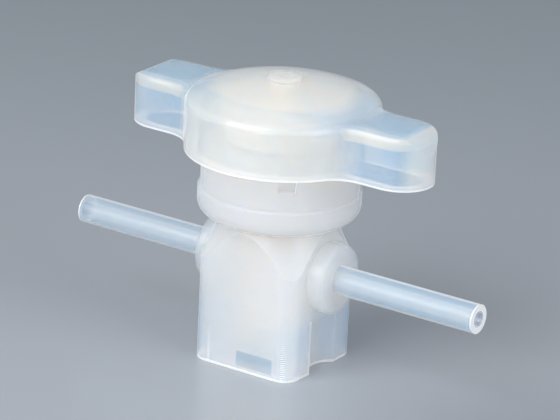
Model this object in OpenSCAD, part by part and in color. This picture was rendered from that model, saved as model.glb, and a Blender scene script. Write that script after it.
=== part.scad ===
// Two-way plug stopcock for 4 mm laboratory tube, moulded in a milky fluoropolymer.
// The origin is the centre of the base, +Z is the plug's axis and +X runs along the tubes.

/* [Tubes] */
// Outside diameter of the two tubes
tube_od = 4; // [3.7:0.1:5]
// Bore of the tubes, the body and the plug
flow_bore = 2; // [1:0.1:2.4]
// Length of each tube outside its boss
tube_reach = 21.5; // [12:0.25:60]
// Diameter of the turned-down end that seats in the boss
spigot_od = 3.3; // [3:0.1:3.6]
// Depth of that end's socket in the boss
socket_depth = 3.8; // [2:0.1:4]

/* [Body] */
// Width of the square body across its flats
body_w = 16; // [15.8:0.1:20]
// Radius of the body's upright corners
corner_r = 2.4; // [1:0.1:3]
// Height of the tubes' axis above the base
axis_z = 13.35; // [12.5:0.05:15]
// Diameter of the boss round each tube
boss_d = 9.6; // [7:0.1:10]
// How far each boss stands out from the body's flat
boss_out = 2.3; // [1:0.1:5]
// Rounding of each boss's rim
boss_edge = 0.6; // [0.2:0.1:1]
// Radius of the upright flute under each boss
flute_r = 3.65; // [3.2:0.05:4.4]
// Depth of each flute
flute_depth = 1.5; // [0.5:0.1:1.8]
// Height of each flute above the base
flute_h = 7.5; // [4:0.1:8.5]
// Height at which the shoulder starts to take off the corners
shoulder_z = 14.5; // [13:0.1:16]
// Height of the bare neck that shows between the shoulder and the nut
neck_show = 0.7; // [0.3:0.1:3]
// Length of the plain neck inside the nut's foot, before the thread starts
thread_lead = 0.5; // [0.3:0.1:2]
// Diameter of the threaded part of the neck
thread_d = 17.8; // [16:0.1:20]
// How far the thread stands out from the plain neck
thread_step = 1.1; // [0.6:0.1:1.5]
// Height of the body, to the top of the threaded neck
body_h = 27.8; // [25:0.1:36]
// Width of the pocket in the underside, along the tubes
pocket_w = 5.6; // [4:0.1:8]
// Length of that pocket, across the tubes
pocket_l = 9.6; // [6:0.1:11]
// Radius of the pocket's upright corners
pocket_r = 0.5; // [0.2:0.1:1.5]
// Depth of the pocket
pocket_depth = 1.8; // [1:0.1:3]
// Thickness of the floor between the pocket and the plug's seat
floor_t = 3.2; // [1.2:0.1:4]
// Diameter of the packing's chamber in the neck
chamber_d = 13.6; // [12.6:0.1:14]
// Depth of that chamber
chamber_depth = 4.8; // [4.4:0.1:5.5]

/* [Plug] */
// Diameter of the plug's taper at the tubes' axis
plug_d = 10; // [8:0.1:10.4]
// Diameter that the taper gains in each millimetre of height
plug_taper = 0.1; // [0.02:0.01:0.14]
// Room left under the plug, so that it can be drawn down as it wears
plug_lift = 0.4; // [0.2:0.1:1]
// How far the plug's top stands above the chamber's floor
plug_proud = 0.4; // [0:0.1:0.8]
// Diameter of the stem
stem_d = 6; // [5:0.1:7]
// Width of the square that drives the handle
drive_w = 4.2; // [3.2:0.1:4.2]
// Thickness of the handle's top over that square
drive_roof = 2.6; // [2:0.1:4]
// Diameter of the spigot that passes through the handle's top
spigot_d = 3.6; // [2.4:0.1:4]
// Diameter of the head staked over on the spigot
stake_d = 4.6; // [4.2:0.1:5]
// Height of that head
stake_h = 0.7; // [0.4:0.1:1.2]
// Depth of the dimple in that head
dimple_depth = 0.35; // [0.1:0.05:0.35]

/* [Packing] */
// Thickness of the packing ring on the plug's top
packing_t = 1.5; // [1:0.1:1.8]
// Thickness of the thrust washer on the packing
washer_t = 1; // [0.6:0.1:1.2]

/* [Gland nut] */
// Wall of the nut round the thread
nut_wall = 1.77; // [1.2:0.01:3]
// How far the plain band round the nut's foot stands out
band_step = 0.35; // [0.2:0.05:1]
// Height of that band
band_h = 3.9; // [3:0.1:5]
// Rounding under the band
band_edge = 2; // [0.5:0.1:2]
// Thickness of the nut's top
nut_top_t = 2.8; // [1.6:0.1:4]
// Width of each spanner slot in the nut's upper edge
slot_w = 2.4; // [1:0.1:4]
// Depth of each slot
slot_depth = 0.7; // [0.3:0.1:0.9]
// Length of each slot, down from the nut's top
slot_h = 4; // [2:0.1:5]
// Number of slots
slot_count = 4; // [2:1:6]
// Angle of the first slot, round from the outlet
slot_angle = -52; // [-90:1:90]

/* [Handle] */
// Height of the handle, from its rim to the dome's top
handle_h = 9.9; // [9.8:0.1:14]
// How far the cap's skirt reaches down over the nut
skirt_lap = 1.6; // [0.5:0.1:2.4]
// Radius of the shallow dome
dome_r = 34; // [28:0.5:60]
// Rounding of the cap's upper edge
cap_edge = 1.3; // [0.8:0.1:2]
// Span over the two wings, tip to tip
wing_span = 46.4; // [40:0.2:60]
// Width of a wing
wing_w = 9.3; // [8:0.1:11]
// Height of a wing
wing_h = 7.4; // [5:0.1:7.5]
// Rounding of a wing's upper edges
wing_edge = 1; // [0.6:0.1:1.6]
// Radius through which the top of a wing rolls down at its tip
tip_roll = 3.6; // [2:0.1:5]
// Radius of the hollow corner where a wing runs into the cap
root_r = 4.6; // [1:0.1:6]
// Wall of the cap and the wings
wall_t = 1.6; // [0.8:0.1:1.8]
// Diameter of the solid hub under the dome
hub_d = 16.4; // [10:0.1:17]

/* [Clearances] */
// Radial clearance of the plug in its seat, and of the stem in the pieces round it
turning_gap = 0.05; // [0.02:0.01:0.08]
// Gap under the pieces that the turning plug rubs on
thrust_gap = 0.05; // [0.02:0.01:0.2]
// Gap round pieces that are screwed, welded or pushed together
seat_gap = 0.03; // [0.01:0.01:0.1]
// Gap round the packing and the nut's pusher in the chamber
chamber_gap = 0.1; // [0.05:0.05:0.3]
// Gap between the neck's top and the ceiling of the nut
head_gap = 0.4; // [0.2:0.1:1]
// Height of the nut's lower edge over the bosses
boss_gap = 2.35; // [1:0.05:4]
// Gap between the nut's top and the handle's hub
hub_gap = 0.5; // [0.3:0.1:1]
// Gap between the nut and the handle's skirt
skirt_gap = 0.8; // [0.5:0.1:3]
// Gap round the staked head in its recess
stake_gap = 0.2; // [0.1:0.1:1]

/* [Hidden] */
$fn = 96;

// How far cutting shapes run past the faces that they cut
past = 1;
// How far a wing's rolled outline stands off its top and tip, so that they cross and don't only touch
roll_gap = 0.03;

// Body
half_w = body_w / 2;
corner_reach = (half_w - corner_r) * sqrt(2) + corner_r;
nut_z = axis_z + boss_d / 2 + boss_gap;
neck_z = nut_z - neck_show;
neck_r = thread_d / 2 - thread_step;
shoulder_run = (corner_reach - neck_r) / (neck_z - shoulder_z);
boss_end = half_w + boss_out;
seat_z = pocket_depth + floor_t;
chamber_z = body_h - chamber_depth;
socket_x = boss_end - socket_depth;

// Plug and packing
plug_z = seat_z + plug_lift;
plug_top = chamber_z + plug_proud;
packing_z = plug_top + thrust_gap;
washer_z = packing_z + packing_t;
pusher_z = washer_z + washer_t;
stem_hole_r = stem_d / 2 + turning_gap;
chamber_fill_r = chamber_d / 2 - chamber_gap;

// Gland nut
nut_ceiling = body_h + head_gap;
nut_top = nut_ceiling + nut_top_t;
nut_bore_r = thread_d / 2 + seat_gap;
nut_r = nut_bore_r + nut_wall;
band_r = nut_r + band_step;

// Handle
rim_z = nut_top - skirt_lap;
hub_z = nut_top + hub_gap;
dome_top = rim_z + handle_h;
cap_r = nut_r + skirt_gap + wall_t;
wing_top = rim_z + wing_h;
spigot_z = dome_top - drive_roof;
recess_r = stake_d / 2 + stake_gap;
stake_z = dome_top - dome_sink(recess_r);

// Radius of the tapered plug or seat at a height
function taper_r(z) = plug_d / 2 + (z - axis_z) * plug_taper / 2;

// How far a dome of radius dome_r falls from its top at a distance r from its axis
function dome_sink(r) = dome_r - sqrt(dome_r * dome_r - r * r);

// Half section of a solid of revolution whose outer corners are rounded
module rounded_section(r, z0, z1, low_edge, top_edge) {
    low_z = z0 + low_edge;
    top_z = z1 - top_edge;
    translate([0, low_z])
        square([r, top_z - low_z]);
    translate([0, top_z])
        square([r - top_edge, top_edge]);
    translate([r - top_edge, top_z])
        circle(top_edge);
    if (low_edge > 0) {
        translate([0, z0])
            square([r - low_edge, low_edge]);
        translate([r - low_edge, low_z])
            circle(low_edge);
    }
}

// A cylinder along the tubes' axis between two places
module along_x(r, x0, x1) {
    translate([x0, 0, axis_z])
        rotate([0, 90, 0])
            cylinder(r = r, h = x1 - x0);
}

// Rectangle with round corners
module rounded_outline(w, l, r) {
    square([w, l - 2 * r], center = true);
    square([w - 2 * r, l], center = true);
    for (x = [r - w / 2, w / 2 - r], y = [r - l / 2, l / 2 - r])
        translate([x, y])
            circle(r);
}

// Square block whose corners are taken off by a cone, up to the round neck
module body_block() {
    spare = past / shoulder_run;
    intersection() {
        linear_extrude(neck_z)
            rounded_outline(body_w, body_w, corner_r);
        rotate_extrude()
            polygon([
                [0, 0],
                [corner_reach + past, 0],
                [corner_reach + past, shoulder_z - spare],
                [neck_r, neck_z],
                [0, neck_z]
            ]);
    }
}

// Round boss that carries a tube, with a rounded rim
module boss() {
    translate([0, 0, axis_z])
        rotate([0, 90, 0])
            rotate_extrude()
                rounded_section(boss_d / 2, 0, boss_end, 0, boss_edge);
}

// Upright round groove under a boss
module flute() {
    translate([half_w - flute_depth + flute_r, 0, -past])
        cylinder(r = flute_r, h = flute_h + past);
}

module body() {
    color([0.87, 0.91, 0.95])
        difference() {
            union() {
                difference() {
                    body_block();
                    for (turn = [0, 180])
                        rotate(turn)
                            flute();
                }
                for (turn = [0, 180])
                    rotate(turn)
                        boss();
                translate([0, 0, neck_z - past])
                    cylinder(r = neck_r, h = nut_z + thread_lead + past - neck_z + past);
                translate([0, 0, nut_z + thread_lead])
                    cylinder(d = thread_d, h = body_h - nut_z - thread_lead);
            }
            translate([0, 0, -past])
                linear_extrude(pocket_depth + past)
                    rounded_outline(pocket_w, pocket_l, pocket_r);
            translate([0, 0, seat_z])
                cylinder(
                    r1 = taper_r(seat_z) + turning_gap,
                    r2 = taper_r(body_h) + turning_gap,
                    h = body_h - seat_z
                );
            translate([0, 0, chamber_z])
                cylinder(d = chamber_d, h = chamber_depth + past);
            along_x(flow_bore / 2, -boss_end, boss_end);
            for (turn = [0, 180])
                rotate(turn)
                    along_x(spigot_od / 2 + seat_gap, socket_x, boss_end + past);
        }
}

// Tube whose turned-down end seats in the boss, with its step against the boss's face
module tube() {
    tube_end = boss_end + tube_reach;
    difference() {
        union() {
            along_x(tube_od / 2, boss_end, tube_end);
            along_x(spigot_od / 2, socket_x, tube_end - past);
        }
        along_x(flow_bore / 2, socket_x - past, tube_end + past);
    }
}

module inlet_tube() {
    color([0.78, 0.87, 0.95])
        rotate(180)
            tube();
}

module outlet_tube() {
    color([0.78, 0.87, 0.95])
        tube();
}

module plug() {
    color([0.96, 0.96, 0.94])
        difference() {
            union() {
                translate([0, 0, plug_z])
                    cylinder(r1 = taper_r(plug_z), r2 = taper_r(plug_top), h = plug_top - plug_z);
                translate([0, 0, axis_z])
                    cylinder(d = stem_d, h = hub_z - axis_z);
                translate([-drive_w / 2, -drive_w / 2, plug_top])
                    cube([drive_w, drive_w, spigot_z - plug_top]);
                translate([0, 0, plug_top])
                    cylinder(d = spigot_d, h = stake_z + stake_h / 2 - plug_top);
                translate([0, 0, stake_z])
                    rotate_extrude()
                        rounded_section(stake_d / 2, 0, stake_h, 0, stake_h / 2);
            }
            along_x(flow_bore / 2, -body_w, body_w);
            translate([0, 0, stake_z + stake_h - dimple_depth + stake_d / 2])
                sphere(d = stake_d);
        }
}

// Flat ring round the stem
module stem_ring(r, z, h) {
    translate([0, 0, z])
        difference() {
            cylinder(r = r, h = h);
            translate([0, 0, -past])
                cylinder(r = stem_hole_r, h = h + 2 * past);
        }
}

module packing_ring() {
    color([0.96, 0.96, 0.94])
        stem_ring(chamber_fill_r, packing_z, packing_t);
}

module thrust_washer() {
    color([0.85, 0.89, 0.93])
        stem_ring(chamber_fill_r, washer_z, washer_t);
}

module gland_nut() {
    color([0.87, 0.91, 0.95])
        difference() {
            union() {
                rotate_extrude()
                    rounded_section(nut_r, nut_z + band_edge, nut_top, 0, slot_depth);
                rotate_extrude()
                    rounded_section(band_r, nut_z, nut_z + band_h, band_edge, band_step);
            }
            difference() {
                translate([0, 0, nut_z - past])
                    cylinder(r = nut_bore_r, h = nut_ceiling - nut_z + past);
                translate([0, 0, pusher_z])
                    cylinder(r = chamber_fill_r, h = nut_top - pusher_z);
            }
            translate([0, 0, pusher_z - past])
                cylinder(r = stem_hole_r, h = nut_top - pusher_z + 2 * past);
            for (i = [0 : slot_count - 1])
                rotate(slot_angle + i * 360 / slot_count)
                    translate([nut_r - slot_depth, -slot_w / 2, nut_top - slot_h])
                        cube([slot_depth + past, slot_w, slot_h + past]);
        }
}

// Half section of a round cap with a shallow dome and a rounded upper edge
module cap_section(r, dome, edge, top, bottom) {
    centre_z = top - dome;
    edge_x = r - edge;
    edge_z = centre_z + sqrt(pow(dome - edge, 2) - pow(edge_x, 2));
    meet = dome / (dome - edge);
    meet_x = edge_x * meet;
    meet_z = centre_z + (edge_z - centre_z) * meet;
    translate([0, bottom])
        square([r, edge_z - bottom]);
    translate([edge_x, edge_z])
        circle(edge);
    intersection() {
        translate([0, centre_z])
            circle(dome);
        polygon([[0, edge_z], [edge_x, edge_z], [meet_x, meet_z], [meet_x, top + past], [0, top + past]]);
    }
}

// A wing with a full round tip, from the cap's axis out along +X, whose top rolls down at the tip
module wing(half, tip_x, top, edge, roll, bottom) {
    run = tip_x - half;
    intersection() {
        union() {
            rotate([90, 0, 90])
                linear_extrude(run)
                    for (side = [0, 1])
                        mirror([side, 0])
                            rounded_section(half, bottom, top, 0, edge);
            translate([run, 0, 0])
                rotate(-90)
                    rotate_extrude(angle = 180)
                        rounded_section(half, bottom, top, 0, edge);
        }
        rotate([90, 0, 0])
            linear_extrude(2 * half + past, center = true)
                rounded_section(tip_x + roll_gap, bottom, top + roll_gap, 0, roll);
    }
}

// Hollow corner that blends one side of a wing into the cap
module wing_root(half, fillet, top, edge, bottom) {
    centre_y = half + fillet;
    centre_x = sqrt(pow(cap_r + fillet, 2) - pow(centre_y, 2));
    meet = cap_r / (cap_r + fillet);
    difference() {
        translate([0, 0, bottom])
            linear_extrude(top - bottom)
                polygon([
                    [0, 0],
                    [centre_x, 0],
                    [centre_x, centre_y],
                    [centre_x * meet, centre_y * meet]
                ]);
        translate([centre_x, centre_y, 0])
            rotate_extrude() {
                translate([0, bottom - past])
                    square([fillet, top - bottom + 2 * past]);
                difference() {
                    translate([0, top - edge])
                        square([fillet + edge, edge + past]);
                    translate([fillet + edge, top - edge])
                        circle(edge);
                }
            }
    }
}

module handle_outside() {
    rotate_extrude()
        cap_section(cap_r, dome_r, cap_edge, dome_top, rim_z);
    for (turn = [0, 180])
        rotate(turn) {
            wing(wing_w / 2, wing_span / 2, wing_top, wing_edge, tip_roll, rim_z);
            for (side = [0, 1])
                mirror([0, side, 0])
                    wing_root(wing_w / 2, root_r, wing_top, wing_edge, rim_z);
        }
}

module handle_inside() {
    low = rim_z - past;
    half = wing_w / 2 - wall_t;
    tip_x = wing_span / 2 - wall_t;
    inner_roll = tip_roll - wall_t / 2;
    inner_edge = max(cap_edge, wing_edge) / 2;
    rotate_extrude()
        cap_section(cap_r - wall_t, dome_r - wall_t, inner_edge, dome_top - wall_t, low);
    for (turn = [0, 180])
        rotate(turn)
            wing(half, tip_x, wing_top - wall_t, inner_edge, inner_roll, low);
}

module handle() {
    socket_w = drive_w + 2 * seat_gap;
    color([0.85, 0.90, 0.95])
        difference() {
            union() {
                difference() {
                    handle_outside();
                    handle_inside();
                }
                translate([0, 0, hub_z])
                    cylinder(d = hub_d, h = dome_top - dome_sink(hub_d / 2) - wall_t / 2 - hub_z);
            }
            translate([-socket_w / 2, -socket_w / 2, hub_z - past])
                cube([socket_w, socket_w, spigot_z + seat_gap - hub_z + past]);
            translate([0, 0, spigot_z])
                cylinder(d = spigot_d + 2 * seat_gap, h = dome_top - spigot_z + past);
            translate([0, 0, stake_z - seat_gap])
                cylinder(r = recess_r, h = dome_top - stake_z + past);
        }
}

body();
inlet_tube();
outlet_tube();
plug();
packing_ring();
thrust_washer();
gland_nut();
handle();
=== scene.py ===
import math

import bpy
from mathutils import Matrix, Vector


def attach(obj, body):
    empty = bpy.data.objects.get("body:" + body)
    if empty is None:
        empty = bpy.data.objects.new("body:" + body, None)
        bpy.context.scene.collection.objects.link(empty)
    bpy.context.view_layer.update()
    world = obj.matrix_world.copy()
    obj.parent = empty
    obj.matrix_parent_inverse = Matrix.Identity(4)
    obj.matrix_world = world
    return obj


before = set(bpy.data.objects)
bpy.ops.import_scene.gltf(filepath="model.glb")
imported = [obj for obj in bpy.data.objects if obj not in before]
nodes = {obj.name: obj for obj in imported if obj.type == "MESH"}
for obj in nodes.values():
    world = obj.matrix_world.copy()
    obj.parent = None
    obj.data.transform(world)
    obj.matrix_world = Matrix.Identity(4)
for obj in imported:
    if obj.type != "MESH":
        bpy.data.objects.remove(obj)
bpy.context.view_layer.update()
mm = 0.001
print("frame loaded:", ", ".join(sorted(nodes)))


# unit vector from the part to a camera or lamp: degrees round to the outlet's side, and up
def towards(azimuth, elevation):
    az = math.radians(azimuth)
    el = math.radians(elevation)
    return Vector((math.sin(az) * math.cos(el), -math.cos(az) * math.cos(el), math.sin(el)))


# camera, as in the photograph
cameraSet = {
    "target": (0.0, 0.0, 20.8 * mm),
    "azimuth": 33.06, "elevation": 20.18, "roll": 2.72,  # degrees
    "distance": 491.7 * mm,
    "lens": 236.05, "sensor": 36.0,  # mm
    "shiftX": 0.00216,
    "clipEnd": 20.0,
}


def placeCamera(look):
    az = math.radians(look["azimuth"])
    roll = math.radians(look["roll"])
    back = towards(look["azimuth"], look["elevation"])
    right = Vector((math.cos(az), math.sin(az), 0.0))
    up = back.cross(right)
    rolledRight = right * math.cos(roll) + up * math.sin(roll)
    rolledUp = up * math.cos(roll) - right * math.sin(roll)
    place = Matrix((rolledRight, rolledUp, back)).transposed().to_4x4()
    place.translation = Vector(look["target"]) + back * look["distance"]
    bpy.ops.object.camera_add()
    cam = bpy.context.object
    cam.name = "studioCamera"
    cam.matrix_world = place
    cam.data.lens = look["lens"]
    cam.data.sensor_width = look["sensor"]
    cam.data.shift_x = look["shiftX"]
    cam.data.clip_end = look["clipEnd"]
    bpy.context.scene.camera = cam


placeCamera(cameraSet)
print("camera placed")


# small helpers for node trees
def newMaterial(name):
    mat = bpy.data.materials.new(name)
    mat.use_nodes = True
    mat.node_tree.nodes.clear()
    return mat, mat.node_tree


def addNode(tree, kind, **settings):
    node = tree.nodes.new(kind)
    for key, value in settings.items():
        setattr(node, key, value)
    return node


def setInputs(node, values):
    for key, value in values.items():
        node.inputs[key].default_value = value


def wire(tree, source, target):
    tree.links.new(source, target)


def mathNode(tree, operation, *values, clamp=False):
    node = addNode(tree, "ShaderNodeMath", operation=operation, use_clamp=clamp)
    for socket, value in zip(node.inputs, values):
        if isinstance(value, (int, float)):
            socket.default_value = value
        else:
            wire(tree, value, socket)
    return node.outputs[0]


def rampNode(tree, value, low, high, toLow=0.0, toHigh=1.0):
    node = addNode(tree, "ShaderNodeMapRange", clamp=True, interpolation_type="SMOOTHSTEP")
    wire(tree, value, node.inputs["Value"])
    setInputs(node, {"From Min": low, "From Max": high, "To Min": toLow, "To Max": toHigh})
    return node.outputs["Result"]


def mixColours(tree, factor, first, second):
    node = addNode(tree, "ShaderNodeMix", data_type="RGBA")
    wire(tree, factor, node.inputs[0])
    for socket, value in ((node.inputs[6], first), (node.inputs[7], second)):
        if isinstance(value, (tuple, list)):
            socket.default_value = (*value, 1.0)
        else:
            wire(tree, value, socket)
    return node.outputs[2]


def product(tree, first, *others):
    for other in others:
        first = mathNode(tree, "MULTIPLY", first, other)
    return first


def largest(tree, first, *others):
    for other in others:
        first = mathNode(tree, "MAXIMUM", first, other)
    return first


def lengthOf(tree, first, second):
    squares = mathNode(tree, "ADD", product(tree, first, first), product(tree, second, second))
    return mathNode(tree, "SQRT", squares)


# a mark that starts at the span's first length, in mm, and is full at its second
def fade(tree, value, span, full=1.0, none=0.0):
    return rampNode(tree, value, span[0] * mm, span[1] * mm, none, full)


# where a shaded point lies on its piece
def placeOf(tree, coords):
    split = addNode(tree, "ShaderNodeSeparateXYZ")
    wire(tree, coords.outputs["Object"], split.inputs[0])
    x = mathNode(tree, "ABSOLUTE", split.outputs["X"])
    y = mathNode(tree, "ABSOLUTE", split.outputs["Y"])
    z = split.outputs["Z"]
    overAxis = mathNode(tree, "SUBTRACT", z, 13.35 * mm)  # height over the tubes' axis
    quarter = product(tree, split.outputs["X"], split.outputs["Y"])  # its sign tells opposite quarters apart
    return {
        "x": x, "y": y, "z": z, "quarter": quarter,
        "radius": lengthOf(tree, x, y), "tubeRadius": lengthOf(tree, y, overAxis),
    }


# milky fluoropolymer: light scatters inside it, so thin walls look bluish and clear and thick parts white
plastic = {
    "ior": 1.35, "coatIor": 2.0,
    "glowRadius": (1.0, 0.8, 0.6),  # red light goes deepest
    "forward": 0.2,  # share of light that the haze throws on
    "cloudDetail": 3.0, "driftSpan": (0.25, 0.75), "glossSpan": (0.3, 0.7), "fineDetail": 2.0,
    "waveScale": 0.314,  # gives one band for each pitch
    "waveBend": 0.4, "waveBendScale": 40.0,
    "grazing": 0.5,
}


def milkyMaterial(name, look, zones):
    mat, tree = newMaterial(name)
    out = addNode(tree, "ShaderNodeOutputMaterial")
    surface = addNode(tree, "ShaderNodeBsdfPrincipled")
    wire(tree, surface.outputs[0], out.inputs["Surface"])
    coords = addNode(tree, "ShaderNodeTexCoord")
    at = placeOf(tree, coords)
    cloud = addNode(tree, "ShaderNodeTexNoise")
    setInputs(cloud, {"Scale": look["cloudScale"], "Detail": plastic["cloudDetail"]})
    wire(tree, coords.outputs["Object"], cloud.inputs["Vector"])
    drift = rampNode(tree, cloud.outputs["Fac"], *plastic["driftSpan"], 1.0 - 2.0 * look["cloud"], 1.0)
    marks = addNode(tree, "ShaderNodeTexWave", wave_type="BANDS", bands_direction="Z", wave_profile="SIN")
    setInputs(marks, {
        "Scale": plastic["waveScale"] / look["toolPitch"],
        "Distortion": plastic["waveBend"], "Detail Scale": plastic["waveBendScale"],
    })
    wire(tree, coords.outputs["Object"], marks.inputs["Vector"])
    found = zones(tree, at, marks.outputs["Fac"], look)

    thick = product(tree, drift, found["thick"]) if "thick" in found else drift
    colour = mixColours(tree, thick, look["thinColour"], look["thickColour"])
    alpha = rampNode(tree, thick, 0.0, 1.0, look["thinAlpha"], look["thickAlpha"])
    for zone in ("pane", "hollow", "core"):
        if zone in found:
            colour = mixColours(tree, found[zone], colour, look[zone + "Colour"])
            alpha = largest(tree, alpha, product(tree, found[zone], look[zone + "Alpha"]))
    # grazing rim: partly the longer path through the plastic at the silhouette, partly a painted highlight
    # that whitens the outline
    grazing = addNode(tree, "ShaderNodeLayerWeight")
    grazing.inputs["Blend"].default_value = plastic["grazing"]
    rim = rampNode(tree, grazing.outputs["Facing"], look["rimFrom"], look["rimTo"], 0.0, look["rimAlpha"])
    paintedLight = rim
    if "line" in found:
        paintedLight = largest(tree, rim, found["line"])
        alpha = largest(tree, alpha, product(tree, found["line"], look["lineAlpha"]))
    # the rim and the line zones are painted highlights: their colour is mixed to white
    colour = mixColours(tree, paintedLight, colour, look["lineColour"])
    wire(tree, colour, surface.inputs["Base Color"])
    glow = mathNode(tree, "SUBTRACT", 1.0, paintedLight, clamp=True)
    wire(tree, glow, surface.inputs["Subsurface Weight"])

    seen = mathNode(tree, "ADD", alpha, rim, clamp=True)
    path = addNode(tree, "ShaderNodeLightPath")  # lamps shine in through the surface
    passes = addNode(tree, "ShaderNodeMix", data_type="FLOAT")
    wire(tree, path.outputs["Is Shadow Ray"], passes.inputs[0])
    wire(tree, seen, passes.inputs[2])
    passes.inputs[3].default_value = look["shadowAlpha"]
    wire(tree, passes.outputs[0], surface.inputs["Alpha"])

    if look["haze"]:
        haze = addNode(tree, "ShaderNodeVolumeScatter")
        setInputs(haze, {
            "Color": (*look["hazeColour"], 1.0), "Density": look["haze"], "Anisotropy": plastic["forward"],
        })
        wire(tree, haze.outputs[0], out.inputs["Volume"])

    fine = addNode(tree, "ShaderNodeTexNoise")
    setInputs(fine, {"Scale": look["fineScale"], "Detail": plastic["fineDetail"]})
    wire(tree, coords.outputs["Object"], fine.inputs["Vector"])
    bump = addNode(tree, "ShaderNodeBump")
    setInputs(bump, {"Strength": look["bump"], "Distance": look["bumpDepth"]})
    height = mathNode(tree, "MULTIPLY_ADD", marks.outputs["Fac"], look["toolDepth"], fine.outputs["Fac"])
    wire(tree, height, bump.inputs["Height"])
    wire(tree, bump.outputs[0], surface.inputs["Normal"])
    wire(tree, bump.outputs[0], surface.inputs["Coat Normal"])

    gloss = rampNode(tree, cloud.outputs["Fac"], *plastic["glossSpan"], look["roughLow"], look["roughHigh"])
    wire(tree, gloss, surface.inputs["Roughness"])
    setInputs(surface, {
        "IOR": plastic["ior"],
        "Subsurface Radius": plastic["glowRadius"], "Subsurface Scale": look["glowDepth"],
        "Coat Weight": look["coat"], "Coat Roughness": look["coatRough"], "Coat IOR": plastic["coatIor"],
    })
    return mat


# body: bluish posts; ladders of white rungs painted on the corners as glints where tool marks catch the lamps
# (painted highlights); a painted bright line along the foot; and the pocket painted as a darker patch of
# shade on the face before it
bodyMarks = {  # mm
    "post": 1.0, "paneIn": (4.8, 3.8),  # square mm, of x times y
    # the corner and strip spans, the ladder top, rung and gap place the painted glint ladders on the corners
    "cornerIn": (6.3, 6.6), "cornerOut": (7.2, 6.9), "cornerFace": (6.5, 6.9),
    "stripIn": (4.6, 4.9), "stripOut": (5.4, 5.1), "face": (7.8, 7.95), "ladderTop": (7.5, 2.0),
    "rung": (0.55, 0.95), "gap": (0.45, 0.05),  # of a tool mark's height
    "outline": (7.1, 7.3), "fluteX": 10.15, "flute": (3.85, 3.75), "footTop": (0.5, 0.3),
    "postFace": (7.7, 7.9), "postIn": (2.8, 2.9), "postOut": (3.45, 3.25), "postTop": (7.9, 7.6),
    "pocketX": (3.0, 2.9), "pocketY": (5.0, 4.9), "pocketTop": (2.1, 1.9),
    "paneOut": (5.3, 5.1), "paneLow": (0.6, 0.85), "paneTop": (3.0, 2.75),
    "sideX": (5.6, 7.0), "sideTop": (11.0, 6.0), "sideY": (6.8, 5.6), "lowTop": (5.0, 1.0),
    "under": (0.1, 0.05),
}
bodyLook = {
    "thinColour": (0.42, 0.58, 0.77), "thickColour": (0.84, 0.84, 0.84), "lineColour": (0.96, 0.96, 0.96),
    "paneColour": (0.24, 0.39, 0.53), "paneAlpha": 0.45,
    "hollowColour": (0.45, 0.62, 0.78), "hollowAlpha": 0.4,
    "coreColour": (0.95, 0.95, 0.95), "coreAlpha": 0.9,
    # the next two strengths set how strong the painted highlights are: glints on the corners and bright lines
    # along the edges
    "glintRungs": 1.0, "foot": 0.8, "low": 0.5, "corner": 0.45,
    "rimFrom": 0.74, "rimTo": 0.92, "rimAlpha": 0.7,
    "thinAlpha": 0.34, "thickAlpha": 0.25, "lineAlpha": 0.9, "shadowAlpha": 0.05,
    "cloudScale": 120.0, "cloud": 0.08,
    "bump": 0.25, "bumpDepth": 0.02 * mm, "fineScale": 2500.0,
    "toolPitch": 0.27 * mm, "toolDepth": 0.8,
    "roughLow": 0.30, "roughHigh": 0.38, "coat": 0.6, "coatRough": 0.18,
    "glowDepth": 8.0 * mm, "haze": 340.0, "hazeColour": (0.62, 0.80, 1.0),
}


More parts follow.
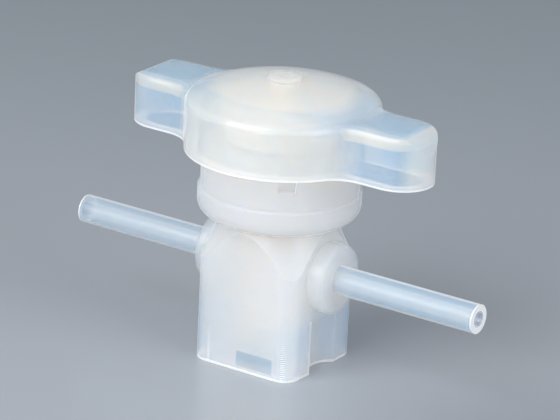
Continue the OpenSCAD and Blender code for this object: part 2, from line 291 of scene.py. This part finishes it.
def bodyZones(tree, at, marks, look):
    x, y, z = at["x"], at["y"], at["z"]
    span = bodyMarks
    rightPost = rampNode(tree, at["quarter"], 0.0, -span["post"] * mm * mm)
    leftPost = rampNode(tree, at["quarter"], 0.0, span["post"] * mm * mm)
    face = fade(tree, y, span["face"])
    # painted highlights: strips on the corners get white rungs and bluish gaps, glints where the tool marks
    # catch the lamps
    cornerStrip = product(
        tree, rightPost, fade(tree, x, span["cornerIn"]), fade(tree, x, span["cornerOut"]),
        fade(tree, y, span["cornerFace"]))
    faceStrip = product(
        tree, leftPost, fade(tree, x, span["stripIn"]), fade(tree, x, span["stripOut"]), face)
    glintLadder = product(tree, largest(tree, cornerStrip, faceStrip), fade(tree, z, span["ladderTop"]))
    glintRungs = product(tree, glintLadder, rampNode(tree, marks, *span["rung"], 0.0, look["glintRungs"]))
    gaps = product(tree, glintLadder, rampNode(tree, marks, *span["gap"], 0.0, look["glintRungs"]))
    fluteRadius = lengthOf(tree, mathNode(tree, "SUBTRACT", x, span["fluteX"] * mm), y)
    outline = largest(
        tree, fade(tree, x, span["outline"]), fade(tree, y, span["outline"]),
        fade(tree, fluteRadius, span["flute"]))
    # painted highlights: a bright white line along the foot's outer edges and the flutes, and down the right
    # posts' edges beside the flutes
    foot = product(tree, outline, fade(tree, z, span["footTop"], look["foot"]))
    postEdge = product(
        tree, rightPost, fade(tree, x, span["postFace"]), fade(tree, y, span["postIn"]),
        fade(tree, y, span["postOut"]), fade(tree, z, span["postTop"], look["foot"]))
    pocket = product(
        tree, fade(tree, x, span["pocketX"]), fade(tree, y, span["pocketY"]),
        fade(tree, z, span["pocketTop"]))
    paneIn = rampNode(tree, at["quarter"], span["paneIn"][0] * mm * mm, span["paneIn"][1] * mm * mm)
    pane = product(  # painted shade: the pocket behind, painted as a darker bluish patch on the face before it
        tree, paneIn, fade(tree, x, span["paneOut"]), face,
        fade(tree, z, span["paneLow"]), fade(tree, z, span["paneTop"]))
    sides = product(
        tree, fade(tree, x, span["sideX"]), fade(tree, z, span["sideTop"]),
        largest(tree, leftPost, fade(tree, y, span["sideY"], 1.0, look["corner"])))
    low = fade(tree, z, span["lowTop"], look["low"])
    return {
        "thick": mathNode(tree, "SUBTRACT", 1.0, largest(tree, sides, gaps, low)),
        # line holds the painted highlights; core paints the underside near-opaque white
        "line": largest(tree, glintRungs, foot, postEdge),
        "pane": pane, "hollow": pocket, "core": fade(tree, z, span["under"]),
    }


# nut and washer: even all over
nutLook = dict(bodyLook, thickAlpha=0.24, haze=440.0, toolPitch=0.22 * mm, toolDepth=0.4)


def plainZones(tree, at, marks, look):
    return {}


# handle: white hub and skirt, bluish wings with a white band under the roof, and a bright rim painted as a
# white line along the skirt's lower edge, a painted highlight
handleMarks = {  # mm
    "wing": (11.5, 14.0), "hub": (11.6, 8.6), "skirt": (36.6, 35.2), "shoulder": (3.5, 9.5),
    "bandLow": (34.7, 35.2), "bandTop": (36.75, 36.4), "tip": (20.4, 22.2),
    "core": (8.6, 8.4), "coreTop": (37.6, 37.2),
    "roof": (36.6, 36.75), "roofY": (3.6, 2.8), "roofEnd": (21.6, 20.4), "rim": (29.8, 29.6),
}
handleLook = dict(
    bodyLook, skirt=0.8, band=1.0, tip=0.85,
    thinColour=(0.38, 0.57, 0.75), thickColour=(0.81, 0.78, 0.71),
    hollowColour=(0.20, 0.43, 0.62), hollowAlpha=0.46, coreColour=(0.86, 0.85, 0.82), coreAlpha=0.75,
    thinAlpha=0.28, thickAlpha=0.42, rimAlpha=0.9, lineAlpha=0.6,
    toolPitch=0.3 * mm, toolDepth=0.05, coat=0.7, coatRough=0.07,
    haze=250.0, hazeColour=(0.52, 0.75, 1.0), glowDepth=2.5 * mm,
)


def handleZones(tree, at, marks, look):
    x, y, z, radius = at["x"], at["y"], at["z"], at["radius"]
    span = handleMarks
    wing = fade(tree, x, span["wing"])
    notWing = mathNode(tree, "SUBTRACT", 1.0, wing)
    hub = fade(tree, radius, span["hub"])
    skirt = product(tree, notWing, fade(tree, z, span["skirt"], look["skirt"]))
    shoulder = fade(tree, y, span["shoulder"], look["skirt"])
    roofBand = product(
        tree, wing, fade(tree, z, span["bandLow"], look["band"]), fade(tree, z, span["bandTop"]))
    tipBand = fade(tree, x, span["tip"], look["tip"])
    roofPane = product(
        tree, wing, fade(tree, z, span["roof"]), fade(tree, y, span["roofY"]), fade(tree, x, span["roofEnd"]))
    return {
        "thick": largest(tree, hub, skirt, shoulder, roofBand, tipBand),
        # painted highlight: a white line along the skirt's lower edge
        "line": fade(tree, z, span["rim"]),
        "core": product(tree, fade(tree, radius, span["core"]), fade(tree, z, span["coreTop"])),
        "hollow": roofPane,
    }


# tubes: end faces painted bright white, partly their own look and partly a painted highlight; a painted shade
# in the bore's mouth; the bore wall painted white for a painted highlight streak along the tube
tubeMarks = {  # mm
    "end": (31.55, 31.7), "mouth": (30.4, 31.4), "bore": (31.2, 30.4),
    "wall": (1.05, 1.15), "hole": (1.15, 1.05),
}
tubeLook = dict(
    bodyLook, thickColour=(0.46, 0.64, 0.80), thickAlpha=0.2,
    hollowColour=(0.30, 0.33, 0.42), hollowAlpha=0.5, coreColour=(0.94, 0.92, 0.90), coreAlpha=0.2,
    rimFrom=0.45, rimTo=0.75, rimAlpha=0.9,
    bump=0.0, toolPitch=0.3 * mm, toolDepth=0.0, coatRough=0.15,
    haze=260.0, hazeColour=(0.50, 0.74, 1.0), glowDepth=2.5 * mm,
)


def tubeZones(tree, at, marks, look):
    x, radius = at["x"], at["tubeRadius"]
    span = tubeMarks
    hole = fade(tree, radius, span["hole"])
    return {
        # end faces: partly their own white look, partly a painted highlight
        "line": product(tree, fade(tree, x, span["end"]), fade(tree, radius, span["wall"])),
        # painted shade: the bore's mouth is darkened
        "hollow": product(tree, fade(tree, x, span["mouth"]), hole),
        # the bore wall painted white: partly light carried in the bore, partly a painted highlight streak
        # along the tube
        "core": product(tree, fade(tree, x, span["bore"]), hole),
    }


# plug and packing: warm white, and clearer in the staked head
plugMarks = {"head": (39.0, 38.6)}  # mm
plugLook = dict(
    bodyLook, thinColour=(0.84, 0.80, 0.70), thickColour=(0.90, 0.88, 0.82),
    thinAlpha=0.25, thickAlpha=0.5, shadowAlpha=0.1, rimAlpha=0.3,
    toolPitch=0.2 * mm, coatRough=0.06, haze=550.0, hazeColour=(0.85, 0.92, 1.0),
)


def plugZones(tree, at, marks, look):
    return {"thick": fade(tree, at["z"], plugMarks["head"])}


finishes = {
    "body": ("milledBody", bodyLook, bodyZones),
    "gland_nut": ("turnedNut", nutLook, plainZones),
    "handle": ("mouldedHandle", handleLook, handleZones),
    "inlet_tube": ("clearTube", tubeLook, tubeZones),
    "outlet_tube": ("clearTube", tubeLook, tubeZones),
    "plug": ("whitePlug", plugLook, plugZones),
    "packing_ring": ("whitePlug", plugLook, plugZones),
    "thrust_washer": ("turnedNut", nutLook, plainZones),
}
made = {}
for nodeName, (finishName, look, zones) in finishes.items():
    if finishName not in made:
        made[finishName] = milkyMaterial(finishName, look, zones)
    mesh = nodes[nodeName].data
    mesh.materials.clear()
    mesh.materials.append(made[finishName])
print("finishes set:", ", ".join(sorted(made)))


# the neck's thread, which shows through the nut
threadLook = {
    "radius": 8.9 * mm, "ridge": 0.3 * mm, "corners": 8, "sharp": 50.0,  # degrees
    "pitch": 1.5 * mm, "turns": 4, "steps": 72, "startZ": 21.5 * mm,
}
threadFinish = dict(nutLook, thickAlpha=0.08, haze=0.0, rimAlpha=0.1)


def makeNeckThread(look, finish):
    bpy.ops.object.select_all(action="DESELECT")
    bpy.ops.mesh.primitive_circle_add(
        vertices=look["corners"], radius=look["ridge"],
        location=(look["radius"], 0, look["startZ"]), rotation=(math.pi / 2, 0, 0))
    thread = bpy.context.object
    thread.name = "neckThread"
    bpy.ops.object.transform_apply(location=True, rotation=True, scale=True)
    bpy.ops.object.modifier_add(type="SCREW")
    winding = thread.modifiers[-1]
    winding.axis = "Z"
    winding.angle = 2.0 * math.pi
    winding.iterations = look["turns"]
    winding.screw_offset = look["pitch"]
    winding.steps = look["steps"]
    winding.render_steps = look["steps"]
    bpy.ops.object.modifier_apply(modifier=winding.name)
    bpy.ops.object.mode_set(mode="EDIT")
    bpy.ops.mesh.select_all(action="SELECT")
    bpy.ops.mesh.fill_holes(sides=0)  # close both ends
    bpy.ops.mesh.select_all(action="SELECT")
    bpy.ops.mesh.normals_make_consistent(inside=False)
    bpy.ops.object.mode_set(mode="OBJECT")
    bpy.ops.object.shade_smooth_by_angle(angle=math.radians(look["sharp"]))
    thread.data.materials.append(milkyMaterial("rolledThread", finish, plainZones))
    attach(thread, "valve_body")


makeNeckThread(threadLook, threadFinish)
print("thread cut")


# studio floor and light
floorLook = {
    "size": 8.0, "drop": 0.05 * mm,  # metres
    "near": (0.39, 0.415, 0.452), "far": (0.26, 0.29, 0.315),
    "nearAt": 0.06, "farAt": -0.24,  # metres from the axis, towards the camera
    "shade": 0.75,  # of the light that reaches the right front corner
    "shadeFront": (-0.005, 0.03), "shadeRight": (0.0, 0.035),  # metres from the axis
    "rough": 0.27, "shine": 0.8,
}


def makeFloor(look):
    bpy.ops.object.select_all(action="DESELECT")
    bpy.ops.mesh.primitive_plane_add(size=look["size"], location=(0, 0, -look["drop"]))
    floor = bpy.context.object
    floor.name = "studioFloor"
    mat, tree = newMaterial("paleFloor")
    out = addNode(tree, "ShaderNodeOutputMaterial")
    surface = addNode(tree, "ShaderNodeBsdfPrincipled")
    setInputs(surface, {"Roughness": look["rough"], "Specular IOR Level": look["shine"]})
    wire(tree, surface.outputs[0], out.inputs["Surface"])
    coords = addNode(tree, "ShaderNodeTexCoord")
    az = math.radians(cameraSet["azimuth"])
    runs = []
    for axis in ((math.sin(az), -math.cos(az), 0.0), (math.cos(az), math.sin(az), 0.0)):  # to front and right
        run = addNode(tree, "ShaderNodeVectorMath", operation="DOT_PRODUCT")
        run.inputs[1].default_value = axis
        wire(tree, coords.outputs["Object"], run.inputs[0])
        runs.append(run.outputs["Value"])
    # painted light falloff: the floor is painted lighter towards the camera and darker away from it
    share = rampNode(tree, runs[0], look["farAt"], look["nearAt"])
    colour = mixColours(tree, share, look["far"], look["near"])
    corner = product(
        tree, rampNode(tree, runs[0], *look["shadeFront"]), rampNode(tree, runs[1], *look["shadeRight"]))
    shaded = tuple(look["shade"] * part for part in look["near"])
    wire(tree, mixColours(tree, corner, colour, shaded), surface.inputs["Base Color"])
    floor.data.materials.append(mat)


makeFloor(floorLook)

lightAim = (0.0, 0.0, 20.0 * mm)
lightSet = [
    # name, azimuth, elevation, distance, size, watts, colour
    ("frontGlint", 15.0, 30.0, 0.55, 0.03, 0.08, (1.0, 0.99, 0.97)),
    ("keySoftbox", -15.0, 36.0, 0.60, 0.50, 3.8, (1.0, 0.99, 0.97)),
    ("fillSoftbox", 85.0, 20.0, 0.70, 0.45, 2.6, (0.95, 0.98, 1.0)),
]


def makeLights(rows):
    for name, azimuth, elevation, distance, size, watts, colour in rows:
        back = towards(azimuth, elevation)
        bpy.ops.object.light_add(type="AREA")
        lamp = bpy.context.object
        lamp.name = name
        lamp.data.shape = "SQUARE"
        lamp.data.size = size
        lamp.data.energy = watts
        lamp.data.color = colour
        lamp.location = Vector(lightAim) + back * distance
        lamp.rotation_mode = "QUATERNION"
        lamp.rotation_quaternion = back.to_track_quat("Z", "Y")


makeLights(lightSet)

worldLook = {"light": (0.80, 0.86, 0.95), "strength": 0.45, "seen": (0.265, 0.295, 0.335)}


def makeWorld(look):
    world = bpy.data.worlds.new("studioWorld")
    bpy.context.scene.world = world
    world.use_nodes = True
    tree = world.node_tree
    tree.nodes.clear()
    out = addNode(tree, "ShaderNodeOutputWorld")
    glow = addNode(tree, "ShaderNodeBackground")
    setInputs(glow, {"Color": (*look["light"], 1.0), "Strength": look["strength"]})
    seen = addNode(tree, "ShaderNodeBackground")
    seen.inputs["Color"].default_value = (*look["seen"], 1.0)
    path = addNode(tree, "ShaderNodeLightPath")
    direct = largest(tree, *(path.outputs[f"Is {kind} Ray"] for kind in ("Camera", "Transmission", "Glossy")))
    both = addNode(tree, "ShaderNodeMixShader")
    wire(tree, direct, both.inputs[0])
    wire(tree, glow.outputs[0], both.inputs[1])
    wire(tree, seen.outputs[0], both.inputs[2])
    wire(tree, both.outputs[0], out.inputs["Surface"])


makeWorld(worldLook)
bpy.context.scene.view_settings.view_transform = "Standard"
bpy.context.scene.cycles.volume_bounces = 12
bpy.context.scene.cycles.transparent_max_bounces = 24
print("studio lit")
